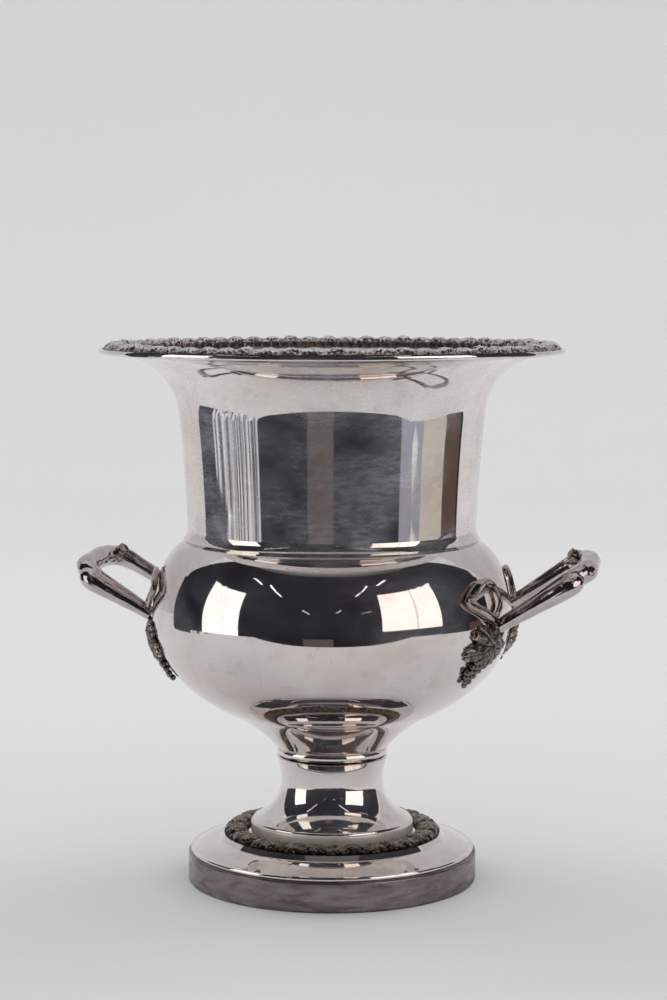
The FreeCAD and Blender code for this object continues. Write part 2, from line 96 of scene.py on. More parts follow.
LEAF_TURNS = 120               # points round a leaf
LEAF_RINGS = 24
LEAF_BACK = 0.3 * MM           # the gap between the back of a leaf and the bowl
LEAF_BULGE = 3.0               # how far its middle stands out beyond its edge, in millimetres
TENDRIL_LIFT = 1.9 * MM        # the middle of a tendril, off the bowl
TENDRIL_EYE = (                # (how far out, how far up, half width in millimetres)
    (0.32, 0.02, 1.9), (0.62, 0.20, 2.3), (0.92, 0.42, 2.0), (1.00, 0.57, 1.5), (0.86, 0.72, 2.3),
    (0.62, 0.86, 2.6), (0.36, 0.95, 1.6), (0.15, 0.88, 1.1), (0.02, 0.60, 1.0), (0.02, 0.28, 1.2),
)

# ---------------------------------------------------------------- camera and studio
# Lengths are in metres and angles in degrees.

VIEW_TURN = 15.3          # the right handle comes this far towards the viewer
VIEW_DISTANCE = 1.1155    # from the axis of the bucket
VIEW_HEIGHT = 0.2875
VIEW_SIDESTEP = 0.0007
VIEW_DIP = 5.416
LENS = 85                 # this and the next one are in millimetres
SENSOR = 36

TABLE_FRONT = 0.46        # the mirror surfaces see a table that ends this far from the axis
TABLE_LEFT = 0.65
TABLE_RIGHT = 0.90
TABLE_BACK = 1.3
ROOM_RADIUS = 3.0
ROOM_LEFT = 118           # how far round the dark room reaches, to each side of the viewer
ROOM_RIGHT = 115
ROOM_FOOT = -60           # the room is seen from this far below the horizon, past the table,
ROOM_TOP = 55             # up to here, and over it a ceiling that gets brighter for
ROOM_FADE_RISE = 20       # so many degrees
ROOM_FADE = 5             # in so many steps
CEILING_GLOW = 0.72
BELLY = 0.13              # height of the widest part of the bowl
CEILING = 0.7             # the ceiling lights hang this far above it
STRIP_GLOW = 2.5
CEILING_LIGHTS = (        # start and end, (to the right, to the front) in ceiling heights, and width
    ((-0.95, 0.49), (-1.05, 1.56), 0.018), ((0.655, 0.727), (0.477, 1.665), 0.018),
    ((-1.01, 3.0), (-0.96, 3.9), 0.018), ((0.31, 3.06), (0.16, 3.65), 0.018),
    ((1.47, 3.16), (1.2, 3.6), 0.018),
)
DAYLIGHT = 0.75
LAMPS = {"soft_left": -125, "soft_right": 125}   # how far round from the viewer each stands
LAMP_ENERGY = 9.0
LAMP_SIZE = 1.4
LAMP_OUT = 1.6
LAMP_HEIGHT = 1.7
LAMP_AIM = 0.12


def towards_viewer(turn):
    """The level direction that lies this many degrees to the viewer's right of the camera."""
    bearing = math.radians(VIEW_TURN + turn)
    return Vector((math.sin(bearing), -math.cos(bearing), 0))


# ---------------------------------------------------------------- node helpers

class Nodes:
    """A material's node tree, with short ways of adding the nodes used below."""

    def __init__(self, name):
        self.material = bpy.data.materials.new(name)
        self.material.use_nodes = True
        self.tree = self.material.node_tree
        self.tree.nodes.clear()
        self.output = self.add("ShaderNodeOutputMaterial")

    def add(self, kind, **inputs):
        node = self.tree.nodes.new(kind)
        for name, value in inputs.items():
            self.plug(node.inputs[name.replace("_", " ")], value)
        return node

    def plug(self, socket, value):
        if isinstance(value, bpy.types.NodeSocket):
            self.tree.links.new(value, socket)
        else:
            socket.default_value = value

    def place(self, stretch=(1, 1, 1)):
        """The point being shaded, in metres in the frame of the part."""
        where = self.add("ShaderNodeTexCoord").outputs["Object"]
        return self.add("ShaderNodeMapping", Vector=where, Scale=stretch).outputs[0]

    def noise(self, size, detail=3.0, stretch=(1, 1, 1), distortion=0.0):
        """Cloudy noise whose patches are about `size` across."""
        return self.add("ShaderNodeTexNoise", Vector=self.place(stretch), Scale=1 / size,
                        Detail=detail, Distortion=distortion).outputs["Fac"]

    def spread(self, value, low, high, to_low=0.0, to_high=1.0):
        node = self.add("ShaderNodeMapRange", Value=value)
        node.inputs["From Min"].default_value = low
        node.inputs["From Max"].default_value = high
        node.inputs["To Min"].default_value = to_low
        node.inputs["To Max"].default_value = to_high
        return node.outputs[0]

    def math(self, operation, first, second):
        node = self.add("ShaderNodeMath")
        node.operation = operation
        self.plug(node.inputs[0], first)
        self.plug(node.inputs[1], second)
        return node.outputs[0]

    def mix(self, share, first, second):
        node = self.add("ShaderNodeMix")
        node.data_type = "RGBA"
        self.plug(node.inputs["Factor"], share)
        self.plug(node.inputs[6], first)
        self.plug(node.inputs[7], second)
        return node.outputs[2]

    def bump(self, height, depth, normal=None):
        node = self.add("ShaderNodeBump", Height=height, Distance=depth)
        if normal is not None:
            self.plug(node.inputs["Normal"], normal)
        return node.outputs[0]

    def finish(self, shader):
        self.tree.links.new(shader, self.output.inputs["Surface"])
        return self.material


def rgb(red, green, blue):
    return (red, green, blue, 1.0)


# ---------------------------------------------------------------- materials

def polished_silver(name, clean, stain, least_haze, most_haze):
    """Mirror-polished plate: cloudy warm tarnish, hazy wipe marks, specks and hairlines."""
    n = Nodes(name)
    cloud = n.spread(n.noise(55 * MM, 5.0, distortion=0.6), 0.40, 0.68)
    blotch = n.spread(n.noise(9 * MM, 4.0), 0.54, 0.72)
    speck = n.spread(n.noise(1.6 * MM, 2.0), 0.69, 0.77)
    wipe = n.spread(n.noise(34 * MM, 3.0, stretch=(1, 1, 1.4), distortion=0.5), 0.36, 0.70)
    hairline = n.noise(0.5 * MM, 2.0, stretch=(1, 1, 0.06))
    dent = n.noise(38 * MM, 1.0)
    colour = n.mix(n.math("MULTIPLY", cloud, 0.7), rgb(*clean), rgb(*stain))
    colour = n.mix(n.math("MULTIPLY", blotch, 0.35), colour, rgb(0.56, 0.45, 0.39))
    colour = n.mix(n.math("MULTIPLY", speck, 0.55), colour, rgb(0.26, 0.21, 0.18))
    normal = n.bump(dent, 0.05 * MM)
    normal = n.bump(hairline, 0.0006 * MM, normal)
    mirror = n.add("ShaderNodeBsdfPrincipled", Base_Color=colour, Metallic=1.0,
                   Roughness=n.math("ADD", 0.035, n.math("MULTIPLY", speck, 0.2)), Normal=normal)
    haze = n.add("ShaderNodeBsdfPrincipled", Base_Color=rgb(0.74, 0.76, 0.82), Metallic=1.0,
                 Roughness=0.5, Normal=normal)
    rub = n.spread(n.noise(6 * MM, 3.0, stretch=(1, 1, 4), distortion=0.3), 0.25, 0.65, 0.45, 1.0)
    both = n.add("ShaderNodeMixShader")
    n.plug(both.inputs[0], n.math("MULTIPLY", n.spread(wipe, 0, 1, least_haze, most_haze), rub))
    n.plug(both.inputs[1], mirror.outputs[0])
    n.plug(both.inputs[2], haze.outputs[0])
    return n.finish(both.outputs[0])


def dull_silver():
    """Plate on the drum of the foot, gone dull, streaky and purple-grey."""
    n = Nodes("dull_silver_plate")
    streak = n.spread(n.noise(22 * MM, 6.0, stretch=(1, 1, 5), distortion=1.0), 0.38, 0.66)
    patch = n.spread(n.noise(9 * MM, 5.0, stretch=(1, 1, 2)), 0.45, 0.70)
    colour = n.mix(streak, rgb(0.27, 0.235, 0.25), rgb(0.15, 0.12, 0.135))
    colour = n.mix(n.math("MULTIPLY", patch, 0.6), colour, rgb(0.33, 0.27, 0.24))
    roughness = n.spread(streak, 0, 1, 0.22, 0.42)
    normal = n.bump(n.noise(1.1 * MM, 4.0), 0.02 * MM)
    shader = n.add("ShaderNodeBsdfPrincipled", Base_Color=colour, Metallic=1.0,
                   Roughness=roughness, Normal=normal)
    return n.finish(shader.outputs[0])


def antiqued_castings(name, carved, dark, bright):
    """Cast relief: tarnish left in the recesses, silver where cloths have rubbed high points.
    A carved piece carries its own heights; on others the bend of the surface stands for them."""
    n = Nodes(name)
    if carved:
        height = n.add("ShaderNodeAttribute")
        height.attribute_name = "relief"
        edge = n.spread(height.outputs["Fac"], 0.22, 0.66)
    else:
        edge = n.spread(n.add("ShaderNodeNewGeometry").outputs["Pointiness"], 0.48, 0.57)
    grain = n.spread(n.noise(2.5 * MM, 5.0), 0.40, 0.65)
    warm = n.spread(n.noise(12 * MM, 3.0), 0.40, 0.65)
    low = n.mix(warm, rgb(*dark), rgb(dark[0] * 1.6, dark[1] * 1.35, dark[2] * 1.2))
    high = n.mix(grain, rgb(*bright), rgb(*(0.6 * part for part in bright)))
    colour = n.mix(edge, low, high)
    roughness = n.spread(edge, 0, 1, 0.40, 0.17)
    normal = n.bump(n.noise(0.6 * MM, 4.0), 0.05 * MM)
    shader = n.add("ShaderNodeBsdfPrincipled", Base_Color=colour, Metallic=1.0,
                   Roughness=roughness, Normal=normal)
    return n.finish(shader.outputs[0])


def handle_castings(name, bright, dull):
    """Polished branches: bright backs, with brown tarnish left in the grooves."""
    n = Nodes(name)
    groove = n.spread(n.add("ShaderNodeNewGeometry").outputs["Pointiness"], 0.49, 0.43)
    cloud = n.spread(n.noise(11 * MM, 4.0), 0.42, 0.66)
    colour = n.mix(n.math("MULTIPLY", cloud, 0.6), rgb(*bright), rgb(*dull))
    colour = n.mix(groove, colour, rgb(0.16, 0.09, 0.045))
    roughness = n.math("ADD", n.spread(cloud, 0, 1, 0.07, 0.18), n.math("MULTIPLY", groove, 0.2))
    normal = n.bump(n.noise(1.4 * MM, 3.0), 0.02 * MM)
    shader = n.add("ShaderNodeBsdfPrincipled", Base_Color=colour, Metallic=1.0,
                   Roughness=roughness, Normal=normal)
    return n.finish(shader.outputs[0])


def satin_silver():
    """The plain band at the bottom of the stem, less polished than the sheet beside it."""
    n = Nodes("satin_silver")
    cloud = n.spread(n.noise(14 * MM, 4.0), 0.42, 0.66)
    colour = n.mix(cloud, rgb(0.80, 0.75, 0.69), rgb(0.66, 0.58, 0.51))
    normal = n.bump(n.noise(1.2 * MM, 3.0), 0.015 * MM)
    shader = n.add("ShaderNodeBsdfPrincipled", Base_Color=colour, Metallic=0.5,
                   Roughness=0.32, Normal=normal)
    return n.finish(shader.outputs[0])


def fastening_steel():
    n = Nodes("plated_steel_fastening")
    patch = n.spread(n.noise(5 * MM, 5.0), 0.40, 0.66)
    colour = n.mix(patch, rgb(0.52, 0.50, 0.46), rgb(0.36, 0.32, 0.26))
    normal = n.bump(n.noise(0.4 * MM, 3.0), 0.02 * MM)
    shader = n.add("ShaderNodeBsdfPrincipled", Base_Color=colour, Metallic=1.0,
                   Roughness=n.spread(patch, 0, 1, 0.30, 0.50), Normal=normal)
    return n.finish(shader.outputs[0])


def bare_brass():
    n = Nodes("bare_brass")
    patch = n.spread(n.noise(4 * MM, 5.0), 0.40, 0.66)
    colour = n.mix(patch, rgb(0.66, 0.50, 0.25), rgb(0.36, 0.24, 0.12))
    rings = n.noise(0.5 * MM, 2.0, stretch=(0.05, 0.05, 1))
    shader = n.add("ShaderNodeBsdfPrincipled", Base_Color=colour, Metallic=1.0,
                   Roughness=n.spread(patch, 0, 1, 0.26, 0.46), Normal=n.bump(rings, 0.02 * MM))
    return n.finish(shader.outputs[0])


MATERIALS = {
    "polished_silver_plate": polished_silver("polished_silver_plate", (0.83, 0.79, 0.765),
                                             (0.69, 0.59, 0.53), 0.03, 0.22),
    "neck_silver": polished_silver("neck_silver", (0.87, 0.83, 0.79), (0.72, 0.60, 0.52),
                                   0.06, 0.52),
    "bowl_silver": polished_silver("bowl_silver", (0.78, 0.735, 0.71), (0.62, 0.51, 0.46),
                                   0.0, 0.22),
    "dull_silver_plate": dull_silver(),
    "antiqued_castings": antiqued_castings("antiqued_castings", True, (0.13, 0.11, 0.10),
                                           (0.78, 0.73, 0.71)),
    "foot_castings": antiqued_castings("foot_castings", True, (0.010, 0.008, 0.006),
                                       (0.27, 0.23, 0.19)),
    "dark_castings": antiqued_castings("dark_castings", False, (0.030, 0.024, 0.018),
                                       (0.50, 0.45, 0.40)),
    "handle_castings": handle_castings("handle_castings", (0.60, 0.55, 0.54), (0.38, 0.33, 0.32)),
    "tendrils": handle_castings("tendrils", (0.46, 0.41, 0.38), (0.26, 0.21, 0.19)),
    "plated_steel_fastening": fastening_steel(),
    "bare_brass": bare_brass(),
    "satin_silver": satin_silver(),
}


# The silver plate of these nodes has worn differently from the rest.
NODE_FINISHES = {"neck_shell": "neck_silver", "bowl_shell": "bowl_silver",
                 "pedestal_base_ring": "satin_silver"}


def paint_cad_nodes():
    """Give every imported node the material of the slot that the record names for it."""
    for subpart in frame["record"]["subparts"]:
        node = frame["nodes"][subpart["node"]]
        node.data.materials.clear()
        finish = NODE_FINISHES.get(subpart["node"], subpart["material_slot"])
        node.data.materials.append(MATERIALS[finish])


# ---------------------------------------------------------------- making pieces

def new_object(name, points, faces, material):
    mesh = bpy.data.meshes.new(name)
    mesh.from_pydata([tuple(point) for point in points], [], faces)
    mesh.materials.append(material)
    mesh.shade_smooth()
    made = bpy.data.objects.new(name, mesh)
    bpy.context.scene.collection.objects.link(made)
    return made


def stand_for(piece, slot, *nodes):
    """A finished piece rides on the one body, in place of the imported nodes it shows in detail."""
    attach(piece, "root")
    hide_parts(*nodes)


def fused(piece, voxel, smoothing=2):
    """Melt overlapping closed forms into one skin, as in a casting."""
    remesh = piece.modifiers.new("fuse", "REMESH")
    remesh.mode = "VOXEL"
    remesh.voxel_size = voxel
    remesh.use_smooth_shade = True
    smooth = piece.modifiers.new("soften", "SMOOTH")
    smooth.factor = 0.5
    smooth.iterations = smoothing
    graph = bpy.context.evaluated_depsgraph_get()
    mesh = bpy.data.meshes.new_from_object(piece.evaluated_get(graph))
    piece.modifiers.clear()
    mesh.materials.clear()
    mesh.materials.append(piece.data.materials[0])
    piece.data = mesh
    mesh.shade_smooth()


def pushed(piece, depth_at):
    """Move every point of a piece along its normal by depth_at(point)."""
    mesh = piece.data
    places = np.empty(len(mesh.vertices) * 3)
    normals = np.empty(len(mesh.vertices) * 3)
    mesh.vertices.foreach_get("co", places)
    mesh.vertex_normals.foreach_get("vector", normals)
    depths = np.array([depth_at(Vector(place)) for place in places.reshape(-1, 3)])
    places += normals * np.repeat(depths, 3)
    mesh.vertices.foreach_set("co", places)
    mesh.update()


def roughened(piece, size, depth):
    """Dents and bark."""
    pushed(piece, lambda place: noise.fractal(place / size, 0.9, 2.0, 3) * depth)


def smooth_path(corners, per_span, closed=False):
    """Catmull-Rom points through the corners, each a tuple of numbers."""
    corners = np.array(corners, float)
    count = len(corners)
    spans = count if closed else count - 1
    path = []
    for span in range(spans):
        picks = [span - 1, span, span + 1, span + 2]
        if closed:
            picks = [pick % count for pick in picks]
        else:
            picks = [min(max(pick, 0), count - 1) for pick in picks]
        before, start, end, after = corners[picks]
        for share in np.arange(per_span) / per_span:
            path.append(0.5 * (2 * start + (end - before) * share
                               + (2 * before - 5 * start + 4 * end - after) * share ** 2
                               + (3 * start - before - 3 * end + after) * share ** 3))
    if not closed:
        path.append(corners[-1])
    return np.array(path)


def tube(centres, ups, half_widths, half_depths, sides=16, closed=False):
    """Points and faces of an oval tube.  `ups` is the way its depth points at each centre."""
    count = len(centres)
    points = []
    for place in range(count):
        ahead = centres[(place + 1) % count if closed else min(place + 1, count - 1)]
        behind = centres[place - 1 if closed or place else 0]
        along = (Vector(ahead) - Vector(behind)).normalized()
        up = Vector(ups[place])
        up = (up - along * up.dot(along)).normalized()
        across = along.cross(up)
        for side in range(sides):
            angle = math.tau * side / sides
            points.append(Vector(centres[place]) + across * math.cos(angle) * half_widths[place]
                          + up * math.sin(angle) * half_depths[place])
    faces = []
    for place in range(count if closed else count - 1):
        here, there = place * sides, (place + 1) % count * sides
        for side in range(sides):
            onward = (side + 1) % sides
            faces.append((here + side, here + onward, there + onward, there + side))
    if not closed:
        faces.append(tuple(range(sides - 1, -1, -1)))
        faces.append(tuple(range((count - 1) * sides, count * sides)))
    return points, faces


def joined_shapes(shapes):
    """Several (points, faces) shapes as one."""
    points, faces = [], []
    for more_points, more_faces in shapes:
        base = len(points)
        points += list(more_points)
        faces += [tuple(base + index for index in face) for face in more_faces]
    return points, faces


def ball(centre, radius, rings=8, sides=12):
    points, faces = [], []
    for ring in range(1, rings):
        tilt = math.pi * ring / rings
        for side in range(sides):
            turn = math.tau * side / sides
            points.append(centre + radius * Vector((math.sin(tilt) * math.cos(turn),
                                                    math.sin(tilt) * math.sin(turn), math.cos(tilt))))
    for ring in range(rings - 2):
        for side in range(sides):
            onward = (side + 1) % sides
            faces.append((ring * sides + side, (ring + 1) * sides + side,
                          (ring + 1) * sides + onward, ring * sides + onward))
    points += [centre + Vector((0, 0, radius)), centre - Vector((0, 0, radius))]
    for side in range(sides):
        onward = (side + 1) % sides
        last = (rings - 2) * sides
        faces.append((len(points) - 2, side, onward))
        faces.append((len(points) - 1, last + onward, last + side))
    return points, faces


# ---------------------------------------------------------------- vine borders

class Relief:
    """Heights over a length of border, in millimetres: fine detail on a lumpy domed strip."""

    def __init__(self, length, width, step, wave):
        self.along = np.linspace(0, length, round(length / step) + 1)
        self.across = np.linspace(-width / 2, width / 2, round(width / step) + 1)
        self.run, self.side = np.meshgrid(self.along, self.across, indexing="ij")
        self.detail = np.full(self.run.shape, -RECESS)
        self.width = width
        self.wave = wave

    def raise_to(self, detail):
        self.detail = np.maximum(self.detail, detail)

    def bead(self, run, side, radius, rise):
        """A grape, or one point of a stem: the cap of a ball that stands `rise` off the dome."""
        near = np.abs(self.along - run) < radius
        if not near.any():
            return
        gap = (self.run[near] - run) ** 2 + (self.side[near] - side) ** 2
        cap = rise - radius + np.sqrt(np.maximum(radius ** 2 - gap, 0))
        self.detail[near] = np.maximum(self.detail[near], np.where(gap < radius ** 2, cap, -RECESS))

    def cord(self, path, radius, rise):
        for run, side in path:
            self.bead(run, side, radius, rise)

    def bunch(self, run, side, heading, grape, rng):
        """Grapes in rows that narrow towards the tip of the bunch."""
        for row, count in enumerate((3, 4, 3, 2, 1)):
            for place in range(count):
                ahead = (row - 1.6) * grape * 1.55
                aside = (place - (count - 1) / 2) * grape * 1.75
                self.bead(run + ahead * math.cos(heading) - aside * math.sin(heading),
                          side + ahead * math.sin(heading) + aside * math.cos(heading),
                          grape * rng.uniform(0.9, 1.1), GRAPE_RISE * rng.uniform(0.75, 1.1))

    def leaf(self, run, side, heading, size, rng):
        """A five-lobed leaf with cut veins, toothed edges and lobes that curl up or down."""
        gap_run, gap_side = self.run - run, self.side - side
        reach = np.hypot(gap_run, gap_side)
        turn = np.arctan2(gap_side, gap_run) - heading
        lobes = np.abs(np.cos(2.5 * turn)) ** 0.7
        share = reach / (size * (0.56 + 0.44 * lobes) * (1 + 0.05 * np.cos(22 * turn)))
        off_vein = reach * np.abs(np.sin(2.5 * turn)) / 2.5
        rise = 0.15 + rng.uniform(-0.3, 0.4) * share ** 2 + 0.4 * np.sin(math.pi * np.minimum(share, 1))
        rise -= 0.65 * np.exp(-(off_vein / 0.22) ** 2) * (share > 0.08)
        rise -= 0.16 * np.abs(np.sin(reach * 3.2 + 4 * off_vein))
        rise -= 0.5 * np.maximum(share - 0.86, 0) / 0.14
        self.raise_to(np.where(share < 1, rise, -RECESS))

    def softened(self):
        """Round the finest corners, as casting and polishing do."""
        detail = np.pad(self.detail, 1, mode="edge")
        self.detail = (detail[1:-1, 1:-1] * 0.4 + 0.15 * (detail[:-2, 1:-1] + detail[2:, 1:-1]
                       + detail[1:-1, :-2] + detail[1:-1, 2:]))

    def heights(self, low, high, swells):
        """The detail laid on the strip, which has a mound to every wave and scalloped edges.
        `swells` says how high each mound is, from 0 to 1."""
        phase = math.pi * self.run / self.wave
        swell = np.array(swells)[(self.run / self.wave + 1e-6).astype(int)]
        crown = low + (high - low) * np.abs(np.sin(phase)) ** 1.4 * swell
        half = self.width / 2 * (1 - 0.09 * np.abs(np.cos(2 * phase)))
        share = np.abs(self.side) / half
        dome = crown * np.clip(1 - share ** 2, 0, 1) ** 0.72
        depth = np.clip((1 - share) * 5, 0.35, 1)
        return np.where(share < 1, BORDER_BED + dome + self.detail * depth, -BORDER_SUNK)


def vine_relief(length, width, wave, grape, step, seed):
    """A running vine: a wavy stem with a leaf and a bunch of grapes by turns, over foliage.
    Gives the relief, and the heights of the mounds that it lies on."""
    rng = random.Random(seed)
    waves = round(length / wave)
    wave = length / waves
    relief = Relief(length, width, step, wave)
    for run in np.arange(0, length, FOLIAGE):
        for side in np.arange(-width / 2, width / 2, FOLIAGE):
            relief.bead(run + rng.uniform(-0.6, 0.6), side + rng.uniform(-0.6, 0.6),
                        rng.uniform(0.7, 1.2), rng.uniform(-0.15, 0.35))
    swing = width * 0.20
    stem = [(run, swing * math.sin(math.pi * run / wave)) for run in np.arange(0, length, 0.25)]
    relief.cord(stem, STEM, 0.35)
    for number in range(-1, waves + 1):
        flip = 1 if number % 2 else -1
        middle = (number + 0.5) * wave + rng.uniform(-0.6, 0.6)
        curl = [(middle + wave * 0.40 + flip * 0.40 * turn * math.cos(turn * 1.3),
                 flip * width * 0.28 + 0.34 * turn * math.sin(turn * 1.3))
                for turn in np.arange(0.4, 5.0, 0.12)]
        relief.cord(curl, CURL, 0.4)
        if flip > 0:
            relief.leaf(middle, flip * width * 0.08, flip * rng.uniform(1.1, 1.9), width * 0.50, rng)
        else:
            relief.bunch(middle, flip * width * rng.uniform(-0.08, 0.08),
                         -flip * rng.uniform(0.9, 2.2), grape, rng)
    relief.softened()
    swells = [rng.uniform(0.55, 1.0) for number in range(waves + 1)]
    return relief, swells


def slab_faces(rows, columns):
    """Faces of a grid of points with walls down to two more rows of points: one under each long
    edge, placed left and right by turns after the points of the grid."""
    faces = [(row * columns + column, (row + 1) * columns + column,
              (row + 1) * columns + column + 1, row * columns + column + 1)
             for row in range(rows - 1) for column in range(columns - 1)]
    base = rows * columns
    for row in range(rows - 1):
        left, right = base + 2 * row, base + 2 * row + 1
        first, last = row * columns, (row + 1) * columns - 1
        faces.append((left, right, right + 2, left + 2))
        faces.append((first, left, left + 2, first + columns))
        faces.append((last, last + columns, right + 2, right))
    near_end = tuple(range(columns))
    far_end = tuple(range(base - 1, base - columns - 1, -1))
    faces.append(near_end + (base + 1, base))
    faces.append(far_end + (base + 2 * rows - 2, base + 2 * rows - 1))
    return faces


def vine_casting(name, relief, heights, places, under, finish):
    """One length of border.  Its "relief" attribute tells its finish the recesses from the tops."""
    rows, columns = heights.shape
    points = np.concatenate([places.reshape(-1, 3), under.reshape(-1, 3)]) * MM
    casting = new_object(name, points, slab_faces(rows, columns), MATERIALS[finish])
    share = np.zeros(len(points))
    risen = (relief.detail + RECESS) / (RECESS + GRAPE_RISE) * (heights > 0)
    share[:rows * columns] = risen.ravel()
    casting.data.attributes.new("relief", "FLOAT", "POINT").data.foreach_set("value", share)
    return casting


def vine_border(name, count, width, wave, grape, low, high, undercut, step, finish, first_seed):
    """Lengths of cast vine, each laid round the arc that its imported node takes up."""
    reach = [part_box("%s_%d" % (name, number + 1)) for number in range(count)]
    outer = max(corner[1].x for corner in reach) / MM
    floor = reach[0][0].z / MM
    middle = outer - width / 2
    turn = math.tau / count
    for number in range(count):
        relief, swells = vine_relief(middle * turn, width, wave, grape, step, first_seed + number)
        heights = relief.heights(low, high, swells)
        bearings = turn * number + relief.along / middle
        radii = middle + relief.across
        leans = undercut * (0.5 - relief.across / width)
        ups = floor + heights - leans[None, :] * (heights <= 0)
        places = np.stack([np.outer(np.cos(bearings), radii),
                           np.outer(np.sin(bearings), radii), ups], 2)
        edges = [0, -1]
        under = places[:, edges].copy()
        under[:, :, 2] = floor - leans[edges] - BORDER_ROOT
        casting = vine_casting("%s_relief_%d" % (name, number + 1), relief, heights, places, under,
                               finish)
        stand_for(casting, "antiqued_castings", "%s_%d" % (name, number + 1))


# ---------------------------------------------------------------- handles

def packed_tree(node):
    mesh = frame["nodes"][node].data
    return BVHTree.FromPolygons([vertex.co for vertex in mesh.vertices],
                                [tuple(face.vertices) for face in mesh.polygons])


BOWL = packed_tree("bowl_shell")


def on_bowl(side, across, up, lift):
    """The point over the bowl's skin that is seen along X at (across, up), lifted off by `lift`."""
    spot, normal = BOWL.ray_cast(Vector((side, across, up)), Vector((-side, 0, 0)))[:2]
    if normal.x * side < 0:
        normal = -normal
    return spot + normal * lift, normal


def handle_axes(side):
    """Outward-and-up, across, and square to both, for the loop on this side."""
    pitch = math.radians(LOOP_PITCH[side])
    roll = math.radians(LOOP_ROLL)
    outward = Vector((side * math.cos(pitch), 0, math.sin(pitch)))
    across = Vector((0, math.cos(roll), math.sin(roll)))
    across = (across - outward * across.dot(outward)).normalized()
    square = outward.cross(across) * side
    return outward, across, square


def loop_line(name, side, outward, across):
    """Points along the middle of a loop, from its front end out, across and back to the rear."""
    low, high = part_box(name + "_handle_loop")
    half = (high.y - low.y) / 2 - BRANCH
    corner = LOOP_CORNER
    end_x = max(abs(low.x), abs(high.x)) - BRANCH - LOOP_INSET[side]
    rise = (half - corner) * across.z + LOOP_INSET[side] * outward.z
    end = Vector((side * end_x, 0, high.z - BRANCH - rise))
    length = (end_x - LOOP_ROOT) / math.cos(math.radians(LOOP_PITCH[side]))
    flat = [(-length, -half)]
    flat += [(-length * share, -half) for share in (0.85, 0.7, 0.55, 0.4)]
    for step in range(7):
        angle = math.radians(90 * step / 6)
        flat.append((-corner + corner * math.sin(angle), -half + corner - corner * math.cos(angle)))
    flat += [(run, -place) for run, place in reversed(flat)]
    path = smooth_path(flat, 8)
    return [end + outward * run + across * place for run, place in path]


def strand(line, square, side, knots):
    """One shoot of a branch.  Each knot is how far round the loop it is, how far off the middle
    line and on which bearing (from inward to upward), and its radius, both in millimetres."""
    centres, radii = [], []
    last = len(line) - 1
    for share, away, bearing, radius in smooth_path(knots, 8):
        place = min(max(share, 0), 1) * last
        index = min(int(place), last - 1)
        along = (line[min(index + 2, last)] - line[max(index - 1, 0)]).normalized()
        inward = square.cross(along) * side
        angle = math.radians(bearing)
        aside = (inward * math.cos(angle) + square * math.sin(angle)) * away * MM
        centres.append(line[index].lerp(line[index + 1], place - index) + aside)
        radii.append(radius * MM)
    return tube(centres, [square] * len(centres), radii, radii, sides=24)


def handle_loop(name, side):
    """The branch of one handle: shoots grown together, with a bearing on the bowl at each end."""
    outward, across, square = handle_axes(side)
    line = loop_line(name, side, outward, across)
    points, faces = joined_shapes([strand(line, square, side, knots) for knots in SHOOTS])
    branch = new_object(name + "_vine_handle", points, faces, MATERIALS["handle_castings"])
    fused(branch, 0.34 * MM, 4)
    wrinkle(branch, line, outward, across, square)
    stand_for(branch, "handle_castings", name + "_handle_loop")


def wrinkle(branch, line, outward, across, square):
    """Folds on the outer end of a loop and fine lengthwise grooves down to the bowl."""
    heart = line[len(line) // 2]
    reach = (line[0] - heart).length

    def depth_at(place):
        gap = place - heart
        near = max(0.0, 1 - gap.length / (reach * 0.50))
        fold = Vector((gap.dot(outward) * 0.5, gap.dot(across) * 0.25, gap.dot(square))) / (1.7 * MM)
        groove = Vector((gap.dot(outward) * 0.06, gap.dot(across), gap.dot(square))) / (1.3 * MM)
        push = noise.fractal(fold, 0.8, 2.0, 3) * 0.30 * min(1.0, near * 2)
        push += noise.noise(groove) * 0.13 * (1 - min(1.0, near * 2))
        return (push + noise.noise(place / (8 * MM)) * 0.2) * MM

    pushed(branch, depth_at)


def handle_knot(name, side):
    """The stub of a cut twig on the inside of the rear corner: bark round a hollowed end."""
    low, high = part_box(name + "_handle_knot")
    outward, across, square = handle_axes(side)
    foot = (low + high) / 2 + outward * (KNOT_SHIFT - LOOP_INSET[side]) - across * KNOT_SHIFT * 0.7
    lean = (square - outward * 0.5 - across * 0.4).normalized()
    path = smooth_path(KNOT_PROFILE, 4)
    centres = [foot + lean * share * KNOT_LENGTH for share, wide in path]
    widths = [wide * KNOT_RADIUS for share, wide in path]
    points, faces = tube(centres, [across] * len(path), widths, widths, sides=24)
    knot = new_object(name + "_cut_twig", points, faces, MATERIALS["tendrils"])
    roughened(knot, 2.2 * MM, 0.5 * MM)
    stand_for(knot, "handle_castings", name + "_handle_knot")


def tendril(label, side, end):
    """A flattened shoot bent into an eye beside the branch, just clear of the bowl."""
    low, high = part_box(label + "_tendril")
    path = smooth_path(TENDRIL_EYE, 10, closed=True)
    centres, ups = [], []
    for far, up, wide in path:
        near_y, far_y = (high.y, low.y) if end < 0 else (low.y, high.y)
        y = near_y + (far_y - near_y) * far
        z = low.z + (high.z - low.z) * up
        spot, normal = on_bowl(side, y, z, TENDRIL_LIFT)
        centres.append(spot)
        ups.append(normal)
    widths = [wide * MM for far, up, wide in path]
    depths = [(0.75 + 0.40 * wide) * MM for far, up, wide in path]
    points, faces = tube(centres, ups, widths, depths, sides=14, closed=True)
    eye = new_object(label + "_shoot", points, faces, MATERIALS["tendrils"])
    divide = eye.modifiers.new("round", "SUBSURF")
    divide.levels = divide.render_levels = 1
    roughened(eye, 4 * MM, 0.25 * MM)
    stand_for(eye, "handle_castings", label + "_tendril")


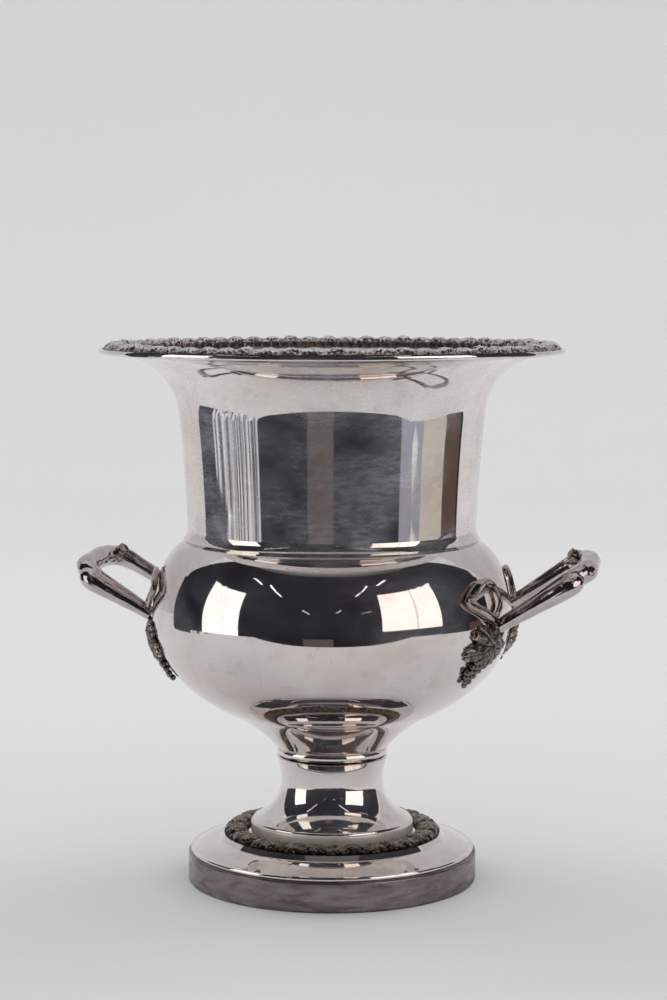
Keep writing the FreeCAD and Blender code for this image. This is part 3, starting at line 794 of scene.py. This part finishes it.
def lobe_share(angle, sharpness):
    """How far a point of a leaf's outline belongs to one of the five lobes, from 0 to 1."""
    return abs(math.cos(2.5 * (angle + math.pi / 2))) ** sharpness


def leaf_lift(angle, share, outline, half_width, y, z):
    """How far the front of a leaf stands off the bowl, in millimetres: veins, folds and lumps."""
    reach = share * outline * half_width / MM
    off_vein = reach * abs(math.sin(2.5 * (angle + math.pi / 2))) / 2.5
    lobe = lobe_share(angle, 0.75)
    lift = 1.3 + LEAF_BULGE * math.sqrt(1 - share ** 2) * (0.7 + 0.3 * lobe)
    lift -= 0.9 * math.exp(-(off_vein / 0.5) ** 2) * min(1, share * 5)
    lift -= 0.35 * abs(math.sin(reach * 1.7 + 3 * off_vein)) * share
    lift += 0.7 * noise.noise(Vector((y, z, 0)) / (3 * MM))
    lift += 0.35 * noise.noise(Vector((y, z, 1)) / (1.2 * MM))
    return lift


def leaf_faces(side, count):
    """Faces of a leaf's front, of its back, `count` points further on, and of the rim between."""

    def turned(face, keep):
        return face if keep else face[::-1]

    faces = []
    for sheet, keep in ((0, side > 0), (count, side < 0)):
        for ring in range(LEAF_RINGS):
            for step in range(LEAF_TURNS):
                onward = (step + 1) % LEAF_TURNS
                inner, outer = sheet + ring * LEAF_TURNS, sheet + (ring + 1) * LEAF_TURNS
                faces.append(turned((inner + step, outer + step, outer + onward, inner + onward),
                                    keep))
    rim = LEAF_RINGS * LEAF_TURNS
    for step in range(LEAF_TURNS):
        onward = (step + 1) % LEAF_TURNS
        faces.append(turned((rim + step, count + rim + step, count + rim + onward, rim + onward),
                            side > 0))
    faces.append(turned(tuple(range(LEAF_TURNS)), side < 0))
    faces.append(turned(tuple(count + step for step in reversed(range(LEAF_TURNS))), side < 0))
    return faces


def leaf_mount(label, side):
    """A thick five-lobed vine leaf that hangs from the end of the branch and follows the bowl."""
    low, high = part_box(label + "_leaf_mount")
    centre_y = (low.y + high.y) / 2
    centre_z = low.z + (high.z - low.z) * 0.60
    half_y = (high.y - low.y) / 2 * 0.96
    half_z = (high.z - low.z) / 2 * 1.20
    front, back = [], []
    for ring in range(LEAF_RINGS + 1):
        share = max(ring / LEAF_RINGS, 0.004)
        for step in range(LEAF_TURNS):
            angle = math.tau * step / LEAF_TURNS
            outline = (0.66 + 0.34 * lobe_share(angle, 0.75)) * (1 + 0.04 * math.cos(24 * angle))
            y = centre_y + half_y * outline * share * math.cos(angle)
            z = centre_z + half_z * outline * share * math.sin(angle)
            lift = leaf_lift(angle, share, outline, half_y, y, z)
            front.append(on_bowl(side, y, z, lift * MM)[0])
            back.append(on_bowl(side, y, z, LEAF_BACK)[0])
    leaf = new_object(label + "_vine_leaf", front + back, leaf_faces(side, len(front)),
                      MATERIALS["dark_castings"])
    stand_for(leaf, "antiqued_castings", label + "_leaf_mount")


def grape_cluster(label, side, end, seed):
    """A hanging bunch of grapes and a few beside it under the leaf, melted together."""
    low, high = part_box(label + "_grape_cluster")
    rng = random.Random(seed)
    middle_y = (low.y + high.y) / 2 - end * 3.5 * MM
    middle_z = (low.z + high.z) / 2 + (2.4 if side > 0 else 3.6) * MM
    grapes = []

    def hang(y, z, radius, lift):
        grapes.append(ball(on_bowl(side, y, z, radius * lift)[0], radius))

    for up, count in ((4.6, 2), (2.5, 3), (0.2, 4), (-2.1, 3), (-4.2, 2), (-5.9, 1)):
        for place in range(count):
            y = middle_y + (place - (count - 1) / 2) * 2.5 * MM + rng.uniform(-0.3, 0.3) * MM
            hang(y, middle_z + up * MM, rng.uniform(1.3, 1.7) * MM, rng.uniform(0.9, 1.4))
    for step in range(4):
        y = middle_y - end * (5.5 + 2.4 * step) * MM
        hang(y, middle_z + (3.6 + 0.4 * step + rng.uniform(-0.8, 0.8)) * MM, 1.6 * MM, 1.0)
    points, faces = joined_shapes(grapes)
    bunch = new_object(label + "_grapes", points, faces, MATERIALS["dark_castings"])
    fused(bunch, 0.26 * MM, 1)
    stand_for(bunch, "antiqued_castings", label + "_grape_cluster")


def handles():
    for name, side in (("right", 1), ("left", -1)):
        handle_loop(name, side)
        handle_knot(name, side)
        for place, end in (("front", -1), ("rear", 1)):
            label = "%s_%s" % (name, place)
            tendril(label, side, end)
            leaf_mount(label, side)
            grape_cluster(label, side, end, 40 + side + 3 * end)


# ---------------------------------------------------------------- studio

def emitter(name, colour, strength):
    n = Nodes(name)
    glow = n.add("ShaderNodeEmission", Color=rgb(*colour), Strength=strength)
    return n.finish(glow.outputs[0])


def curtain(name):
    """Upright folds, some in the light and some in the shade."""
    n = Nodes(name)
    fold = n.spread(n.noise(90 * MM, 3.0, stretch=(1, 1, 0.02)), 0.42, 0.60)
    tone = n.mix(fold, rgb(0.09, 0.10, 0.13), rgb(0.92, 0.94, 0.98))
    return n.finish(n.add("ShaderNodeEmission", Color=tone, Strength=1.0).outputs[0])


def floor_material():
    """Pale paper.  Mirror surfaces see it end at the edges of the table, and the room below."""
    n = Nodes("pale_floor")
    tone = n.mix(n.noise(0.5, 2.0), rgb(0.80, 0.80, 0.80), rgb(0.78, 0.78, 0.775))
    paper = n.add("ShaderNodeBsdfPrincipled", Base_Color=tone, Roughness=0.7)
    paper.inputs["Specular IOR Level"].default_value = 0.2
    where = n.add("ShaderNodeNewGeometry").outputs["Position"]

    def past(turn, limit):
        run = n.add("ShaderNodeVectorMath", Vector=where)
        run.operation = "DOT_PRODUCT"
        run.inputs[1].default_value = towards_viewer(turn)
        return n.math("GREATER_THAN", run.outputs["Value"], limit)

    off_side = n.math("MAXIMUM", past(90, TABLE_RIGHT), past(-90, TABLE_LEFT))
    off_side = n.math("MULTIPLY", off_side, past(0, -TABLE_BACK))
    outside = n.math("MAXIMUM", past(0, TABLE_FRONT), off_side)
    mirrored = n.add("ShaderNodeLightPath").outputs["Is Glossy Ray"]
    clear = n.add("ShaderNodeBsdfTransparent")
    choice = n.add("ShaderNodeMixShader")
    n.plug(choice.inputs[0], n.math("MULTIPLY", outside, mirrored))
    n.plug(choice.inputs[1], paper.outputs[0])
    n.plug(choice.inputs[2], clear.outputs[0])
    return n.finish(choice.outputs[0])


def grid_object(name, corners_of, rows, columns, material):
    """A sheet of quads whose points are corners_of(row share, column share)."""
    points = [corners_of(row / rows, column / columns)
              for row in range(rows + 1) for column in range(columns + 1)]
    step = columns + 1
    faces = [(row * step + column, row * step + column + 1,
              (row + 1) * step + column + 1, (row + 1) * step + column)
             for row in range(rows) for column in range(columns)]
    return new_object(name, points, faces, material)


def floor_and_backdrop():
    """One pale sheet: level under the bucket, and swept up behind it."""
    near, far, sweep, rise = 4.0, 1.6, 0.8, 3.0
    level = near + far
    total = level + sweep * math.pi / 2 + rise

    def point(along, across):
        run = along * total
        if run < level:
            back, up = run - near, 0
        elif run < level + sweep * math.pi / 2:
            turn = (run - level) / sweep
            back, up = far + sweep * math.sin(turn), sweep * (1 - math.cos(turn))
        else:
            back, up = far + sweep, sweep + run - level - sweep * math.pi / 2
        side = (across - 0.5) * 9
        place = -towards_viewer(0) * back + towards_viewer(90) * side
        return (place.x, place.y, up)

    sheet = grid_object("studio_sheet", point, 60, 2, floor_material())


def hidden_from_camera(patch):
    """Leave a sheet to mirror surfaces alone."""
    patch.visible_camera = False
    patch.visible_diffuse = False
    patch.visible_shadow = False
    patch.visible_transmission = False


def card(name, turns, heights, colour, radius=ROOM_RADIUS, centre=0.15):
    """A patch of the room that only mirror surfaces see: `turns` to the viewer's right of the
    camera and `heights` above the horizon, both in degrees, as seen from the bucket."""

    def point(up, along):
        lift = math.radians(heights[0] + (heights[1] - heights[0]) * up)
        turn = turns[0] + (turns[1] - turns[0]) * along
        level = towards_viewer(turn) * radius * math.cos(lift)
        return (level.x, level.y, centre + radius * math.sin(lift))

    rows = max(2, round(abs(heights[1] - heights[0]) / 4))
    columns = max(2, round(abs(turns[1] - turns[0]) / 4))
    material = emitter(name, colour, 1.0) if colour else curtain(name)
    hidden_from_camera(grid_object(name, point, rows, columns, material))


def ceiling_light(name, start, end, width):
    """A thin bright strip under the ceiling, from start to end: to the viewer's right of the
    bucket and in front of it, in ceiling heights."""
    ends = [(towards_viewer(90) * right + towards_viewer(0) * front) * CEILING
            for right, front in (start, end)]
    aside = (ends[1] - ends[0]).cross(Vector((0, 0, 1))).normalized() * width / 2

    def point(along, across):
        place = ends[0].lerp(ends[1], along) + aside * (2 * across - 1)
        return (place.x, place.y, CEILING + BELLY)

    hidden_from_camera(grid_object(name, point, 2, 1, emitter(name, (1.0, 1.0, 1.0), STRIP_GLOW)))


def room():
    """What a mirror-polished bucket sees behind the camera: a dark room with two windows."""
    span = (-ROOM_LEFT, ROOM_RIGHT)
    card("room_walls", span, (ROOM_FOOT, ROOM_TOP), (0.020, 0.020, 0.027))
    for step in range(ROOM_FADE):
        tone = CEILING_GLOW * ((step + 0.5) / ROOM_FADE) ** 1.5
        rise = [ROOM_TOP + ROOM_FADE_RISE * edge / ROOM_FADE for edge in (step, step + 1)]
        card("ceiling_fade_%d" % (step + 1), span, rise, (tone, tone, tone))
    near = ROOM_RADIUS - 0.05
    nearer = near - 0.05
    card("window_left", (-88, -60), (-9, 26), (1.45, 1.45, 1.42), near)
    card("curtain_left", (-100, -57), (ROOM_FOOT, -9), None, near)
    card("window_right", (31, 72), (-3, 30), (1.60, 1.48, 1.40), near)
    card("window_bar_side", (54, 55.2), (-3, 30), (1.0, 0.92, 0.87), nearer)
    card("pillar", (-18, 1), (ROOM_FOOT, -6), (0.115, 0.10, 0.10), near)
    card("sill_right", (53, 72), (ROOM_FOOT, -6), (0.30, 0.32, 0.40), near)
    card("curtain_right", (72, 95), (ROOM_FOOT, -8), (0.56, 0.52, 0.47), near)
    card("door_right", (95, 112), (ROOM_FOOT, -4), (0.10, 0.065, 0.052), near)
    for number, (start, end, width) in enumerate(CEILING_LIGHTS):
        ceiling_light("ceiling_light_%d" % (number + 1), start, end, width)


def studio_light():
    world = bpy.data.worlds.new("studio")
    world.use_nodes = True
    background = world.node_tree.nodes["Background"]
    background.inputs["Color"].default_value = rgb(0.98, 0.98, 1.0)
    background.inputs["Strength"].default_value = DAYLIGHT
    bpy.context.scene.world = world
    for name, turn in LAMPS.items():
        lamp = bpy.data.lights.new(name, "AREA")
        lamp.shape = "SQUARE"
        lamp.size = LAMP_SIZE
        lamp.energy = LAMP_ENERGY
        holder = bpy.data.objects.new(name, lamp)
        holder.location = towards_viewer(turn) * LAMP_OUT + Vector((0, 0, LAMP_HEIGHT))
        aim = Vector((0, 0, LAMP_AIM)) - holder.location
        holder.rotation_euler = aim.to_track_quat("-Z", "Y").to_euler()
        holder.visible_glossy = False
        bpy.context.scene.collection.objects.link(holder)


def camera():
    data = bpy.data.cameras.new("camera")
    data.lens = LENS
    data.sensor_width = SENSOR
    data.clip_start = 0.05
    data.clip_end = 50
    eye = bpy.data.objects.new("camera", data)
    place = towards_viewer(0) * VIEW_DISTANCE + towards_viewer(90) * VIEW_SIDESTEP
    eye.location = (place.x, place.y, VIEW_HEIGHT)
    eye.rotation_euler = (math.radians(90 - VIEW_DIP), 0, math.radians(VIEW_TURN))
    bpy.context.scene.collection.objects.link(eye)
    bpy.context.scene.camera = eye
    bpy.context.scene.view_settings.view_transform = "Standard"


paint_cad_nodes()
for border, measures in BORDERS.items():
    vine_border(border, **measures)
handles()
floor_and_backdrop()
room()
studio_light()
camera()
